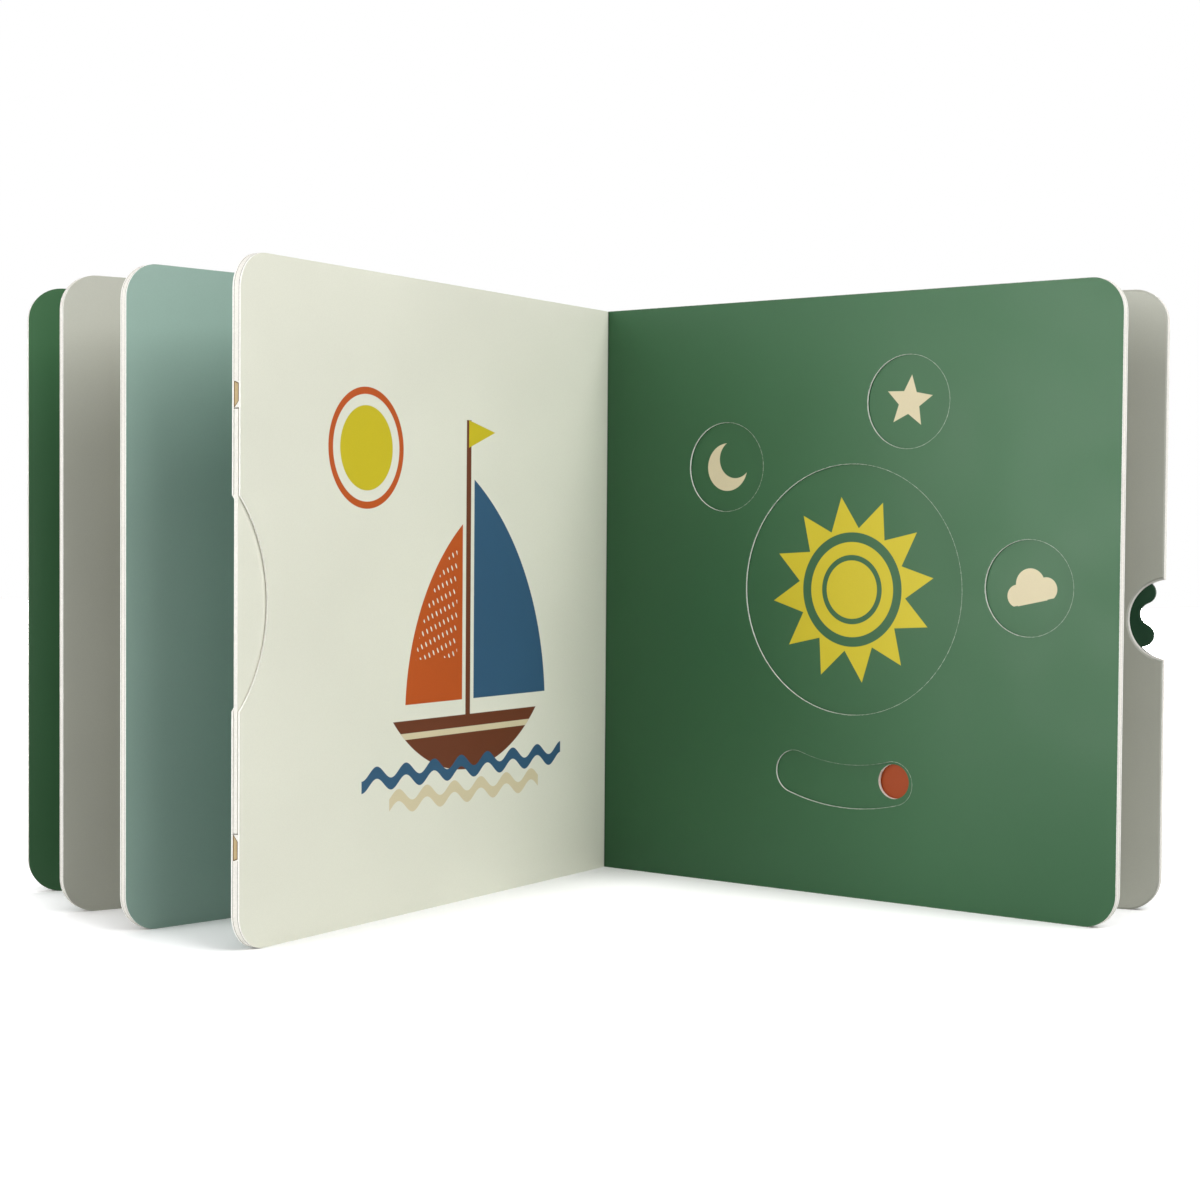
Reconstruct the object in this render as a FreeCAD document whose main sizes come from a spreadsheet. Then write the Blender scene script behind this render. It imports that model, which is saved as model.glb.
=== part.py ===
import FreeCAD, Part

import os
import math
import Sketcher

# Board book standing on its lower edges, fanned open.
# Six square leaves spread about a vertical spine, all sizes in millimetres.
# The frame has +Z up along the spine, the open spread faces -Y.
# The origin is at the floor, under the middle of the space the fanned book takes up.
# Leaves are named A to F from left to right, A the front cover and F the back cover.

doc = FreeCAD.newDocument("board_book")
dims = doc.addObject("Spreadsheet::Sheet", "Dims")

# Driving sizes in millimetres and degrees, each a named cell of the sheet
SIZES = {
    # Leaf sizes
    "leaf_width": 198.0,  # page width from the fold to the fore-edge
    "leaf_height": 200.0,  # page height
    "corner_radius": 10.8,  # rounding of the two outer page corners
    "sheet_thick": 0.55,  # printed sheet on each side of a leaf
    "core_thick": 2.0,  # board between the two printed sheets
    # Angle of each leaf, in degrees, swept from the left through the front
    "angle_a": 21.4,  # front cover
    "angle_b": 33.6,  # second leaf
    "angle_c": 44.75,  # third leaf
    "angle_d": 58.2,  # fourth leaf, left page of the open spread
    "angle_e": 142.05,  # fifth leaf, right page of the open spread
    "angle_f": 153.0,  # back cover
    # Spine
    "strip_thick": 0.5,  # spine strip glued over the ends of the inner leaves
    "strip_setback": 0.8,  # spine strip ends short of each cover fold
    "flap_setback": 1.8,  # spine flap of a cover ends short of its fold
    # Turning disc with a finger hole, in leaf E
    "dial_margin": 13.1,  # board left round the disc's hollow, on average
    "dial_shift": 3.3,  # disc centre beyond the middle of the page
    "dial_rise": 2.4,  # disc centre above the middle of the page
    "dial_thick": 1.4,  # disc thickness
    "dial_clearance": 0.4,  # radial gap round the disc
    "peep_radius": 15.3,  # small round window
    "peep_lap": 5.6,  # disc beyond the small windows
    "window_wall": 8.2,  # sheet between the large window and the small ones
    "peep_one_angle": 140.7,  # first small window, degrees about the disc
    "peep_two_angle": 71.1,  # second small window
    "peep_three_angle": 1.6,  # third small window
    "slot_inset": 20.5,  # middle of the curved slot in from the disc's edge
    "slot_width": 14.4,  # width of the curved slot
    "slot_start_angle": -109.0,  # left end of the slot
    "slot_end_angle": -75.0,  # right end of the slot
    "finger_radius": 5.7,  # finger hole in the disc
    "finger_lift": 0.65,  # finger hole nearer the disc centre than the middle of the slot
    # Scalloped wheel, in leaf F
    "rim_radius": 82.8,  # wheel radius over its lobes
    "rim_edge_wall": 2.3,  # board left between the wheel and the fore-edge
    "rim_drop": 2.0,  # wheel centre below the middle of the page
    "rim_thick": 1.4,  # wheel thickness
    "rim_clearance": 0.4,  # radial gap round the wheel
    "rim_lobes": 36,  # lobes round the wheel
    "rim_phase": 3.4,  # angle of one lobe at rest, in degrees
    "lobe_radius": 3.6,  # rounding of a lobe and of the hollow beside it
    "hollow_depth": 5.1,  # depth of a hollow between two lobes
    "thumb_radius": 13.0,  # thumb notch radius
    "thumb_beyond": 2.0,  # centre of the thumb notch beyond the fore-edge
    "thumb_drop": 3.9,  # centre of the thumb notch below the wheel centre
    "peek_radius": 17.0,  # round window in the inside of the back cover
    "peek_ring": 50.0,  # distance of that window from the wheel centre
    "peek_angle": 150.0,  # its angle about the wheel
    # Pull-out panel, in leaf D
    "tray_u": 73.0,  # inner end of the hollow in the core board
    "tray_low": 26.3,  # board left under the hollow
    "tray_top_wall": 37.2,  # board left above the hollow
    "guide_width": 7.5,  # height of each guide strip
    "guide_u": 140.0,  # inner end of the guide strips
    "panel_thick": 1.4,  # pull-out panel
    "panel_gap": 0.35,  # gap between the panel and its guides
    "panel_ear": 11.0,  # length of the ears that stop the panel
    "grip_radius": 45.2,  # shallow cut that bares the panel edge
    "grip_depth": 12.1,  # depth of that cut at the fore-edge
    "grip_drop": 0.3,  # its centre below the middle of the page
}

# Cells worked out from them
DERIVED = {
    "leaf_thick": "=2 * sheet_thick + core_thick",  # whole leaf
    # Disc, windows and slot
    "dial_radius": "=(leaf_width + leaf_height) / 4 - dial_margin - dial_clearance",
    "dial_u": "=leaf_width / 2 + dial_shift",  # disc centre from the fold
    "dial_v": "=leaf_height / 2 + dial_rise",  # disc centre above the lower edge
    "peep_ring": "=dial_radius - peep_lap - peep_radius",  # ring of the small windows
    "window_radius": "=peep_ring - peep_radius - window_wall",  # large round window
    "slot_ring": "=dial_radius - slot_inset",  # ring followed by the curved slot
    "finger_u": "=(slot_ring - finger_lift) * cos(slot_end_angle)",  # finger hole from the disc centre
    "finger_v": "=(slot_ring - finger_lift) * sin(slot_end_angle)",
    # Scalloped wheel and thumb notch
    "rim_u": "=leaf_width - rim_edge_wall - rim_clearance - rim_radius",  # centre from the fold
    "rim_v": "=leaf_height / 2 - rim_drop",  # wheel centre above the lower edge
    "hub_radius": "=rim_radius - hollow_depth / 2",  # disc under the lobes
    "lobe_ring": "=rim_radius - lobe_radius",  # ring of the lobe centres
    "half_step": "=180 / rim_lobes",  # angle from a lobe to the next hollow
    "hollow_ring": "=rim_radius - hollow_depth + lobe_radius",  # ring of the hollow centres
    "thumb_u": "=leaf_width + thumb_beyond",  # notch centre from the fold
    "thumb_v": "=rim_v - thumb_drop",  # notch centre above the lower edge
    # Hollow and grip cut of the pull-out panel
    "tray_high": "=leaf_height - tray_top_wall",  # upper side of the hollow
    "grip_v": "=leaf_height / 2 - grip_drop",  # cut's centre above the lower edge
    # Positions of the folds, first from the fold between leaves D and E
    "raw_dx": "=-leaf_thick * sin(angle_d)",
    "raw_dy": "=leaf_thick * cos(angle_d)",
    "raw_cx": "=raw_dx - leaf_thick * sin(angle_c)",
    "raw_cy": "=raw_dy + leaf_thick * cos(angle_c)",
    "raw_bx": "=raw_cx - leaf_thick * sin(angle_b)",
    "raw_by": "=raw_cy + leaf_thick * cos(angle_b)",
    "raw_ax": "=raw_bx - leaf_thick * sin(angle_a)",
    "raw_ay": "=raw_by + leaf_thick * cos(angle_a)",
    "raw_fx": "=leaf_thick * sin(angle_e)",
    "raw_fy": "=-leaf_thick * cos(angle_e)",
    "raw_endx": "=raw_fx + leaf_thick * sin(angle_f)",
    "left_reach": "=raw_ax - leaf_width * cos(angle_a)",  # fore-edge of the front cover
    "right_reach": "=raw_endx - leaf_width * cos(angle_f)",  # fore-edge of the back cover
    "front_reach": "=-leaf_width * sin(angle_d)",  # fore-edge of leaf D
    "rear_reach": "=raw_ay + sheet_thick * sin(angle_a)",  # spine corner of the front cover
    "mid_x": "=(left_reach + right_reach) / 2",
    "mid_y": "=(front_reach + rear_reach) / 2",
    # Start fold of each leaf in the book's own frame
    "fold_ax": "=raw_ax - mid_x",
    "fold_ay": "=raw_ay - mid_y",
    "fold_bx": "=raw_bx - mid_x",
    "fold_by": "=raw_by - mid_y",
    "fold_cx": "=raw_cx - mid_x",
    "fold_cy": "=raw_cy - mid_y",
    "fold_dx": "=raw_dx - mid_x",
    "fold_dy": "=raw_dy - mid_y",
    "fold_ex": "=-mid_x",
    "fold_ey": "=-mid_y",
    "fold_fx": "=raw_fx - mid_x",
    "fold_fy": "=raw_fy - mid_y",
}

for row, (alias, value) in enumerate({**SIZES, **DERIVED}.items(), 1):
    dims.set("A" + str(row), alias)
    dims.set("B" + str(row), str(value))
    dims.setAlias("B" + str(row), alias)
doc.recompute()


def val(alias):
    return float(dims.get(alias))


def ref(text):
    """Turns @name into a reference to the named size."""
    return text.replace("@", "Dims.")


def number(text):
    """The present value of such an expression, for a sketch's first guess."""
    words = text.replace("@", " @").replace("(", " ( ").replace(")", " ) ").split()
    total = 0.0
    sign = 1.0
    product = None
    for word in words + ["+"]:
        if word in "+-":
            if product is not None:
                total += sign * product
            sign = 1.0 if word == "+" else -1.0
            product = None
        elif word != "*":
            factor = val(word[1:]) if word.startswith("@") else float(word)
            product = factor if product is None else product * factor
    return total


def place(obj, leaf, u, depth, v="0"):
    """Sets an object into a leaf: u from the fold, depth through the leaf, v above the lower edge."""
    turn = "@angle_" + leaf
    base_x = "@fold_" + leaf + "x - (" + u + ") * cos(" + turn + ") + (" + depth + ") * sin(" + turn + ")"
    base_y = "@fold_" + leaf + "y - (" + u + ") * sin(" + turn + ") - (" + depth + ") * cos(" + turn + ")"
    obj.Placement = FreeCAD.Placement(FreeCAD.Vector(0, 0, 0), FreeCAD.Rotation(FreeCAD.Vector(0, 0, 1), 90))
    obj.setExpression(".Placement.Base.x", ref(base_x))
    obj.setExpression(".Placement.Base.y", ref(base_y))
    obj.setExpression(".Placement.Base.z", ref(v))
    obj.setExpression(".Placement.Rotation.Angle", ref(turn + " + 180"))


def plane(body, role):
    for item in body.Origin.OriginFeatures:
        if item.Role == role:
            return item
    raise RuntimeError("no plane " + role)


def new_sketch(body, name):
    """A sketch on the body's page plane: its x runs out from the fold, its y runs up."""
    sketch = body.newObject("Sketcher::SketchObject", name)
    sketch.AttachmentSupport = [(plane(body, "XZ_Plane"), "")]
    sketch.MapMode = "FlatFace"
    return sketch


def vec(x, y):
    return FreeCAD.Vector(x, y, 0)


def bind(sketch, kind, args, text):
    """A dimension of a sketch, driven by named sizes."""
    index = sketch.addConstraint(Sketcher.Constraint(kind, *args, number(text)))
    sketch.setExpression("Constraints[" + str(index) + "]", ref(text))


def join(sketch, first, first_end, second, second_end):
    sketch.addConstraint(Sketcher.Constraint("Coincident", first, first_end, second, second_end))


def smooth(sketch, first, first_end, second, second_end):
    sketch.addConstraint(Sketcher.Constraint("Tangent", first, first_end, second, second_end))


def draw_page(sketch, start):
    """A page outline from `start` to the fore-edge, its two outer corners rounded."""
    left = number(start)
    wide = val("leaf_width")
    high = val("leaf_height")
    round_r = val("corner_radius")
    low_mid = vec(wide - round_r, round_r)
    top_mid = vec(wide - round_r, high - round_r)
    up = vec(0, 0) + FreeCAD.Vector(0, 0, 1)
    sketch.addGeometry(Part.LineSegment(vec(left, 0), vec(wide - round_r, 0)), False)
    sketch.addGeometry(Part.ArcOfCircle(Part.Circle(low_mid, up, round_r), -math.pi / 2, 0), False)
    sketch.addGeometry(Part.LineSegment(vec(wide, round_r), vec(wide, high - round_r)), False)
    sketch.addGeometry(Part.ArcOfCircle(Part.Circle(top_mid, up, round_r), 0, math.pi / 2), False)
    sketch.addGeometry(Part.LineSegment(vec(wide - round_r, high), vec(left, high)), False)
    sketch.addGeometry(Part.LineSegment(vec(left, high), vec(left, 0)), False)
    smooth(sketch, 0, 2, 1, 1)
    smooth(sketch, 1, 2, 2, 1)
    smooth(sketch, 2, 2, 3, 1)
    smooth(sketch, 3, 2, 4, 1)
    join(sketch, 4, 2, 5, 1)
    join(sketch, 5, 2, 0, 1)
    for line in (0, 4):
        sketch.addConstraint(Sketcher.Constraint("Horizontal", line))
    for line in (2, 5):
        sketch.addConstraint(Sketcher.Constraint("Vertical", line))
    sketch.addConstraint(Sketcher.Constraint("Equal", 1, 3))
    bind(sketch, "Radius", (1,), "@corner_radius")
    bind(sketch, "DistanceX", (-1, 1, 2, 1), "@leaf_width")
    bind(sketch, "DistanceY", (5, 2, 5, 1), "@leaf_height")
    sketch.addConstraint(Sketcher.Constraint("PointOnObject", 0, 1, -1))
    if start == "0":
        sketch.addConstraint(Sketcher.Constraint("PointOnObject", 5, 1, -2))
    else:
        bind(sketch, "DistanceX", (0, 1, -1, 1), start.replace("0 - ", ""))


def draw_circle(sketch, u, v, radius):
    middle = vec(number(u), number(v))
    shape = Part.Circle(middle, FreeCAD.Vector(0, 0, 1), number(radius))
    index = sketch.addGeometry(shape, False)
    bind(sketch, "Radius", (index,), radius)
    if u == "0":
        sketch.addConstraint(Sketcher.Constraint("PointOnObject", index, 3, -2))
    else:
        bind(sketch, "DistanceX", (-1, 1, index, 3), u)
    if v == "0":
        sketch.addConstraint(Sketcher.Constraint("PointOnObject", index, 3, -1))
    else:
        bind(sketch, "DistanceY", (-1, 1, index, 3), v)


def draw_box(sketch, left, right, low, high):
    corners = [vec(number(left), number(low)), vec(number(right), number(low))]
    corners += [vec(number(right), number(high)), vec(number(left), number(high))]
    first = sketch.GeometryCount
    for step in range(4):
        sketch.addGeometry(Part.LineSegment(corners[step], corners[(step + 1) % 4]), False)
    for step in range(4):
        join(sketch, first + step, 2, first + (step + 1) % 4, 1)
    for line in (first, first + 2):
        sketch.addConstraint(Sketcher.Constraint("Horizontal", line))
    for line in (first + 1, first + 3):
        sketch.addConstraint(Sketcher.Constraint("Vertical", line))
    bind(sketch, "DistanceX", (-1, 1, first, 1), left)
    bind(sketch, "DistanceX", (-1, 1, first, 2), right)
    bind(sketch, "DistanceY", (-1, 1, first, 1), low)
    bind(sketch, "DistanceY", (-1, 1, first + 2, 1), high)


def draw_slot(sketch):
    """The curved slot: two arcs about the disc centre, closed by two round ends."""
    up = FreeCAD.Vector(0, 0, 1)
    middle = vec(val("dial_u"), val("dial_v"))
    ring = val("slot_ring")
    half = val("slot_width") / 2
    start = math.radians(val("slot_start_angle"))
    end = math.radians(val("slot_end_angle"))
    start_mid = middle + vec(ring * math.cos(start), ring * math.sin(start))
    end_mid = middle + vec(ring * math.cos(end), ring * math.sin(end))
    sketch.addGeometry(Part.ArcOfCircle(Part.Circle(middle, up, ring + half), start, end), False)
    sketch.addGeometry(Part.ArcOfCircle(Part.Circle(end_mid, up, half), end, end + math.pi), False)
    sketch.addGeometry(Part.ArcOfCircle(Part.Circle(middle, up, ring - half), start, end), False)
    sketch.addGeometry(Part.ArcOfCircle(Part.Circle(start_mid, up, half), start + math.pi, start), False)
    smooth(sketch, 0, 2, 1, 1)
    smooth(sketch, 1, 2, 2, 2)
    smooth(sketch, 2, 1, 3, 1)
    smooth(sketch, 3, 2, 0, 1)
    join(sketch, 0, 3, 2, 3)
    bind(sketch, "DistanceX", (-1, 1, 0, 3), "@dial_u")
    bind(sketch, "DistanceY", (-1, 1, 0, 3), "@dial_v")
    bind(sketch, "Radius", (0,), "@slot_ring + 0.5 * @slot_width")
    bind(sketch, "Radius", (2,), "@slot_ring - 0.5 * @slot_width")
    reach = sketch.addConstraint(Sketcher.Constraint("DistanceX", -1, 1, 3, 3, start_mid.x))
    sketch.setExpression("Constraints[" + str(reach) + "]",
                         ref("@dial_u + @slot_ring * cos(@slot_start_angle)"))
    reach = sketch.addConstraint(Sketcher.Constraint("DistanceX", -1, 1, 1, 3, end_mid.x))
    sketch.setExpression("Constraints[" + str(reach) + "]",
                         ref("@dial_u + @slot_ring * cos(@slot_end_angle)"))


def pad(body, sketch, thickness):
    feature = body.newObject("PartDesign::Pad", sketch.Name + "_pad")
    feature.Profile = sketch
    feature.Reversed = True
    feature.setExpression("Length", ref(thickness))
    body.Tip = feature
    return feature


def cut(body, sketch):
    feature = body.newObject("PartDesign::Pocket", sketch.Name + "_cut")
    feature.Profile = sketch
    feature.Type = "ThroughAll"
    body.Tip = feature
    return feature


def new_body(name, label):
    body = doc.addObject("PartDesign::Body", name)
    body.Label = label
    return body


def page(name, leaf, depth, thickness, start="0"):
    """A board or sheet with the page outline, at a depth through its leaf."""
    body = new_body(name, name)
    sketch = new_sketch(body, name + "_outline")
    draw_page(sketch, start)
    pad(body, sketch, thickness)
    place(body, leaf, "0", depth)
    return body


def cut_circle(body, tag, u, v, radius):
    sketch = new_sketch(body, body.Name + "_" + tag)
    draw_circle(sketch, u, v, radius)
    cut(body, sketch)


def fold_round(name, low, high, radius):
    """The round back of a folded sheet, between the leaves named low and high."""
    rod = doc.addObject("Part::Cylinder", name)
    rod.setExpression("Radius", ref(radius))
    rod.setExpression("Height", ref("@leaf_height"))
    rod.setExpression("Angle", ref("180 - @angle_" + high + " + @angle_" + low))
    rod.Placement = FreeCAD.Placement(vec(0, 0), FreeCAD.Rotation(FreeCAD.Vector(0, 0, 1), 45))
    rod.setExpression(".Placement.Base.x", ref("@fold_" + high + "x"))
    rod.setExpression(".Placement.Base.y", ref("@fold_" + high + "y"))
    rod.setExpression(".Placement.Rotation.Angle", ref("@angle_" + high + " - 90"))
    return rod


def fuse(name, parts):
    whole = doc.addObject("Part::MultiFuse", name)
    whole.Shapes = parts
    whole.Label = name
    return whole


FRONT = "0"
CORE = "@sheet_thick"
BACK = "@sheet_thick + @core_thick"
SPINE_END = "0 - @sheet_thick"

# Core boards of the plain leaves
front_board = page("front_board", "a", CORE, "@core_thick")
leaf_b_board = page("leaf_b_board", "b", CORE, "@core_thick", SPINE_END)
leaf_c_board = page("leaf_c_board", "c", CORE, "@core_thick", SPINE_END)

# Core board of leaf D, hollowed out towards the fore-edge for the pull-out panel
leaf_d_board = page("leaf_d_board", "d", CORE, "@core_thick", SPINE_END)
tray = new_sketch(leaf_d_board, "tray")
draw_box(tray, "@tray_u", "@leaf_width + @corner_radius", "@tray_low", "@tray_high")
cut(leaf_d_board, tray)


def guide(name, low, high):
    """A guide strip beside the pull-out panel."""
    body = new_body(name, name)
    sketch = new_sketch(body, name + "_outline")
    draw_box(sketch, "@guide_u", "@leaf_width", low, high)
    pad(body, sketch, "@core_thick")
    place(body, "d", "0", CORE)
    return body


guide_low = guide("guide_low", "@tray_low", "@tray_low + @guide_width")
guide_high = guide("guide_high", "@tray_high - @guide_width", "@tray_high")

# Pull-out panel, with ears that stop against the guide strips
pull_panel = new_body("pull_panel", "pull_panel")
blade = new_sketch(pull_panel, "panel_blade")
draw_box(blade, "@tray_u + @panel_gap", "@leaf_width", "@tray_low + @guide_width + @panel_gap",
         "@tray_high - @guide_width - @panel_gap")
pad(pull_panel, blade, "@panel_thick")
ears = new_sketch(pull_panel, "panel_ears")
draw_box(ears, "@tray_u + @panel_gap", "@tray_u + @panel_gap + @panel_ear", "@tray_low + @panel_gap",
         "@tray_high - @panel_gap")
pad(pull_panel, ears, "@panel_thick")
place(pull_panel, "d", "0", "@sheet_thick + 0.5 * @core_thick - 0.5 * @panel_thick")

# Core board of leaf E, with a round hollow for the turning disc
leaf_e_board = page("leaf_e_board", "e", CORE, "@core_thick", SPINE_END)
cut_circle(leaf_e_board, "hollow", "@dial_u", "@dial_v", "@dial_radius + @dial_clearance")

# Turning disc, drawn about its own centre
dial_wheel = new_body("dial_wheel", "dial_wheel")
dial_outline = new_sketch(dial_wheel, "dial_outline")
draw_circle(dial_outline, "0", "0", "@dial_radius")
pad(dial_wheel, dial_outline, "@dial_thick")
finger = new_sketch(dial_wheel, "finger_hole")
finger_mid = vec(val("finger_u"), val("finger_v"))
finger.addGeometry(Part.Circle(finger_mid, FreeCAD.Vector(0, 0, 1), val("finger_radius")), False)
bind(finger, "Radius", (0,), "@finger_radius")
bind(finger, "DistanceX", (-1, 1, 0, 3), "@finger_u")
bind(finger, "DistanceY", (0, 3, -1, 1), "0 - @finger_v")
cut(dial_wheel, finger)
place(dial_wheel, "e", "@dial_u", "@sheet_thick + 0.5 * @core_thick - 0.5 * @dial_thick", "@dial_v")

# Core board of the back cover, with its round hollow and thumb notch
back_board = page("back_board", "f", CORE, "@core_thick")
cut_circle(back_board, "hollow", "@rim_u", "@rim_v", "@rim_radius + @rim_clearance")
cut_circle(back_board, "notch", "@thumb_u", "@thumb_v", "@thumb_radius")

# Scalloped wheel, drawn about its own centre with one lobe along its x
rim_wheel = new_body("rim_wheel", "rim_wheel")
hub = new_sketch(rim_wheel, "hub")
draw_circle(hub, "0", "0", "@hub_radius")
pad(rim_wheel, hub, "@rim_thick")


def around(body, feature, name):
    """Repeats a feature evenly round the wheel."""
    ring = body.newObject("PartDesign::PolarPattern", name)
    ring.Originals = [feature]
    ring.Axis = (plane(body, "Y_Axis"), [""])
    ring.Angle = 360
    ring.setExpression("Occurrences", ref("@rim_lobes"))
    body.Tip = ring
    return ring


def rim_circle(name, ring, angle):
    """A circle on a ring about the wheel centre, at an angle given in degrees."""
    turn = math.radians(number(angle))
    middle = vec(number(ring) * math.cos(turn), number(ring) * math.sin(turn))
    sketch = new_sketch(rim_wheel, name)
    sketch.addGeometry(Part.Circle(middle, FreeCAD.Vector(0, 0, 1), val("lobe_radius")), False)
    bind(sketch, "Radius", (0,), "@lobe_radius")
    across = sketch.addConstraint(Sketcher.Constraint("DistanceX", -1, 1, 0, 3, middle.x))
    upward = sketch.addConstraint(Sketcher.Constraint("DistanceY", -1, 1, 0, 3, middle.y))
    sketch.setExpression("Constraints[" + str(across) + "]", ref(ring + " * cos(" + angle + ")"))
    sketch.setExpression("Constraints[" + str(upward) + "]", ref(ring + " * sin(" + angle + ")"))
    return sketch


lobe = rim_circle("lobe", "@lobe_ring", "@rim_phase")
around(rim_wheel, pad(rim_wheel, lobe, "@rim_thick"), "lobes")
scallop = rim_circle("scallop", "@hollow_ring", "@rim_phase + @half_step")
around(rim_wheel, cut(rim_wheel, scallop), "hollows")
place(rim_wheel, "f", "@rim_u", "@sheet_thick + 0.5 * @core_thick - 0.5 * @rim_thick", "@rim_v")

# Printed sheets folded once, each covering the facing pages of two leaves
wing = page("spread_bc_left", "b", BACK, "@sheet_thick")
other = page("spread_bc_right", "c", FRONT, "@sheet_thick")
spread_bc = fuse("spread_bc", [wing, other, fold_round("spread_bc_fold", "b", "c", "@sheet_thick")])

grip_u = "@leaf_width + @grip_radius - @grip_depth"
wing = page("spread_cd_left", "c", BACK, "@sheet_thick")
other = page("spread_cd_right", "d", FRONT, "@sheet_thick")
cut_circle(other, "grip", grip_u, "@grip_v", "@grip_radius")
spread_cd = fuse("spread_cd", [wing, other, fold_round("spread_cd_fold", "c", "d", "@sheet_thick")])

wing = page("spread_de_left", "d", BACK, "@sheet_thick")
cut_circle(wing, "grip", grip_u, "@grip_v", "@grip_radius")
other = page("spread_de_right", "e", FRONT, "@sheet_thick")
cut_circle(other, "window", "@dial_u", "@dial_v", "@window_radius")


def cut_peep(body, name, angle):
    """A small round window, on its ring about the disc centre."""
    turn = math.radians(val(angle))
    ring = val("peep_ring")
    middle = vec(val("dial_u") + ring * math.cos(turn), val("dial_v") + ring * math.sin(turn))
    sketch = new_sketch(body, name)
    sketch.addGeometry(Part.Circle(middle, FreeCAD.Vector(0, 0, 1), val("peep_radius")), False)
    bind(sketch, "Radius", (0,), "@peep_radius")
    across = sketch.addConstraint(Sketcher.Constraint("DistanceX", -1, 1, 0, 3, middle.x))
    upward = sketch.addConstraint(Sketcher.Constraint("DistanceY", -1, 1, 0, 3, middle.y))
    sketch.setExpression("Constraints[" + str(across) + "]",
                         ref("@dial_u + @peep_ring * cos(@" + angle + ")"))
    sketch.setExpression("Constraints[" + str(upward) + "]",
                         ref("@dial_v + @peep_ring * sin(@" + angle + ")"))
    cut(body, sketch)


cut_peep(other, "peep_one", "peep_one_angle")
cut_peep(other, "peep_two", "peep_two_angle")
cut_peep(other, "peep_three", "peep_three_angle")
slot = new_sketch(other, "slot")
draw_slot(slot)
cut(other, slot)
spread_de = fuse("spread_de", [wing, other, fold_round("spread_de_fold", "d", "e", "@sheet_thick")])

# Single printed sheets beside the two cover folds
front_lining = page("front_lining", "a", BACK, "@sheet_thick")
leaf_b_front_sheet = page("leaf_b_front_sheet", "b", FRONT, "@sheet_thick")
leaf_e_back_sheet = page("leaf_e_back_sheet", "e", BACK, "@sheet_thick")
back_lining = page("back_lining", "f", FRONT, "@sheet_thick")
cut_circle(back_lining, "notch", "@thumb_u", "@thumb_v", "@thumb_radius")
peek = new_sketch(back_lining, "peek")
peek_turn = math.radians(val("peek_angle"))
peek_mid = vec(val("rim_u") + val("peek_ring") * math.cos(peek_turn),
               val("rim_v") + val("peek_ring") * math.sin(peek_turn))
peek.addGeometry(Part.Circle(peek_mid, FreeCAD.Vector(0, 0, 1), val("peek_radius")), False)
bind(peek, "Radius", (0,), "@peek_radius")
bound = peek.addConstraint(Sketcher.Constraint("DistanceX", -1, 1, 0, 3, peek_mid.x))
peek.setExpression("Constraints[" + str(bound) + "]", ref("@rim_u + @peek_ring * cos(@peek_angle)"))
bound = peek.addConstraint(Sketcher.Constraint("DistanceY", -1, 1, 0, 3, peek_mid.y))
peek.setExpression("Constraints[" + str(bound) + "]", ref("@rim_v + @peek_ring * sin(@peek_angle)"))
cut(back_lining, peek)


def block(name, leaf, u, depth, long, thick):
    """A plain upright strip in a leaf's own directions."""
    box = doc.addObject("Part::Box", name)
    box.setExpression("Length", ref(long))
    box.setExpression("Width", ref(thick))
    box.setExpression("Height", ref("@leaf_height"))
    place(box, leaf, u, depth)
    return box


# Cover papers, each folded once over the spine end of its board
skin = page("front_paper_face", "a", FRONT, "@sheet_thick")
flap = block("front_paper_flap", "a", SPINE_END, "0", "@sheet_thick", "@leaf_thick - @flap_setback")
front_paper = fuse("front_paper", [skin, flap])
skin = page("back_paper_face", "f", BACK, "@sheet_thick")
cut_circle(skin, "notch", "@thumb_u", "@thumb_v", "@thumb_radius")
flap = block("back_paper_flap", "f", SPINE_END, "@flap_setback", "@sheet_thick",
             "@leaf_thick - @flap_setback")
back_paper = fuse("back_paper", [skin, flap])


def turn_in(low, high):
    """How far the strip stops short of a fold, where it bends in between two leaves."""
    return "@sheet_thick * tan((@angle_" + high + " - @angle_" + low + ") / 2)"


# Spine strip, bent round the ends of leaves B to E
outside = "0 - @sheet_thick - @strip_thick"
at_bc = turn_in("b", "c")
at_cd = turn_in("c", "d")
at_de = turn_in("d", "e")
whole = "@leaf_thick - "
runs = [block("spine_b", "b", outside, "@strip_setback", "@strip_thick", whole + "@strip_setback - " + at_bc)]
runs.append(block("spine_c", "c", outside, at_bc, "@strip_thick", whole + at_bc + " - " + at_cd))
runs.append(block("spine_d", "d", outside, at_cd, "@strip_thick", whole + at_cd + " - " + at_de))
runs.append(block("spine_e", "e", outside, at_de, "@strip_thick", whole + "@strip_setback - " + at_de))
spine_strip = fuse("spine_strip", runs)

doc.recompute()

# Every feature is checked, then each piece is written to its own file
for item in doc.Objects:
    if "Invalid" in item.State or "Error" in item.State:
        raise RuntimeError("failed: " + item.Name + " " + str(item.State))
pieces = [front_board, front_lining, front_paper, leaf_b_board, leaf_b_front_sheet, leaf_c_board,
          leaf_d_board, guide_low, guide_high, pull_panel, leaf_e_board, dial_wheel, leaf_e_back_sheet,
          spread_bc, spread_cd, spread_de, spine_strip, back_board, back_lining, back_paper, rim_wheel]
os.makedirs("parts", exist_ok=True)
for piece in pieces:
    shape = piece.Shape
    if not shape.isValid() or len(shape.Solids) != 1:
        raise RuntimeError("not one valid solid: " + piece.Name)
    shape.exportStep("parts/" + piece.Name + ".step")
    print(piece.Name, round(shape.Volume, 1), len(shape.Faces))
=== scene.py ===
import math

import bpy
from mathutils import Matrix, Vector


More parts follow.
